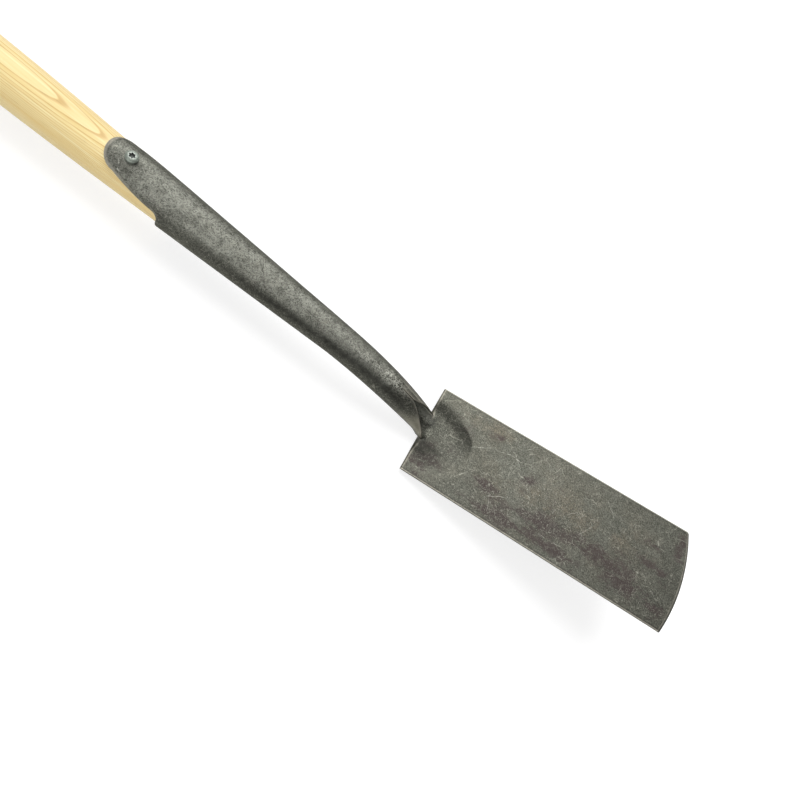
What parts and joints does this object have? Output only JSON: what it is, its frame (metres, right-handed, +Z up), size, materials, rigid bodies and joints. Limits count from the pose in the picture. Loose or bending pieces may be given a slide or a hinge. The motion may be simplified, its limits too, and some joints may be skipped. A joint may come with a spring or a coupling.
{
  "type": "narrow forged spade",
  "caption": "Narrow forged steel spade with a hollow-pressed neck, a tapered socket with a tongue and screw, an ash shaft and a turned T grip.",
  "frame": {"origin": "middle of the box's base, on the floor that the spade lies on, face up, on the heel of its blade and its grip", "axes": "+X along the spade from the T grip to the cutting edge, +Z up, towards the side that the blade's front face looks to, +Y across the blade"},
  "size_m": [1.0788, 0.155, 0.0803],
  "materials": {
    "forged_steel": "dark mottled forging scale, worn, with a ground edge",
    "dressed_weld": "dark, pitted, dressed nearly flush",
    "socket_steel": "dark mottled forging scale, satin",
    "zinc_plate": "bright zinc plate",
    "ash_shaft": "sanded and oiled ash, satin",
    "ash_grip": "turned and oiled ash, satin",
    "pin_steel": "plain drawn steel"
  },
  "bodies": {
    "root": {"blade": "forged_steel", "neck_weld": "dressed_weld", "socket": "socket_steel", "socket_screw": "zinc_plate", "shaft": "ash_shaft", "grip": "ash_grip", "grip_pin": "pin_steel"}
  },
  "joints": []
}
